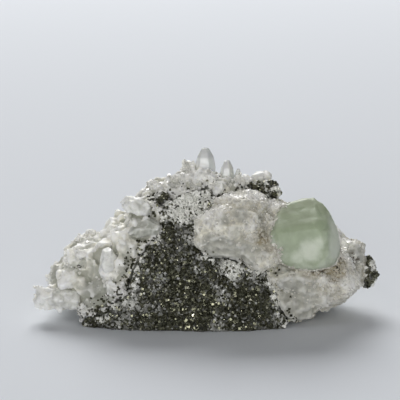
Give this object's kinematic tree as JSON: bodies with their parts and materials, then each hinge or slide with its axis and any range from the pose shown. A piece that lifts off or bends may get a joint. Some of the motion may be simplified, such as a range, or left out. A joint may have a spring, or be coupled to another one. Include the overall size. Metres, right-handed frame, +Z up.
{
  "type": "fluorite with pyrite",
  "caption": "Cabinet mineral specimen: milky quartz rock with a dark pyrite crust, a white calcite lobe and a large pale green fluorite crystal on it, standing on its flat underside.",
  "frame": {"origin": "on the flat underside, under the middle of the specimen's box", "axes": "+X to the right as displayed, towards the fluorite; +Y to the back; +Z up; the crystals are displayed towards -Y"},
  "size_m": [0.101, 0.0482, 0.0483],
  "materials": {
    "milky_quartz": "satin",
    "clear_quartz": "gloss",
    "white_quartz": "satin",
    "pyrite": "satin",
    "calcite": "matte",
    "green_fluorite": "gloss"
  },
  "bodies": {
    "root": {"quartz_matrix": "milky_quartz", "pyrite_crust": "pyrite", "calcite_mass": "calcite", "fluorite_crystal": "green_fluorite", "quartz_point_tall": "clear_quartz", "quartz_point_pair": "clear_quartz", "quartz_crystal_tip": "clear_quartz", "quartz_crystal_bright": "clear_quartz", "quartz_crystal_right": "clear_quartz", "quartz_crystal_lens": "white_quartz", "quartz_crystal_wedge": "white_quartz", "quartz_block": "white_quartz", "calcite_cap": "white_quartz", "pyrite_cluster_top": "pyrite", "pyrite_cluster_right": "pyrite", "pyrite_crystal_pocket": "pyrite"}
  },
  "joints": []
}
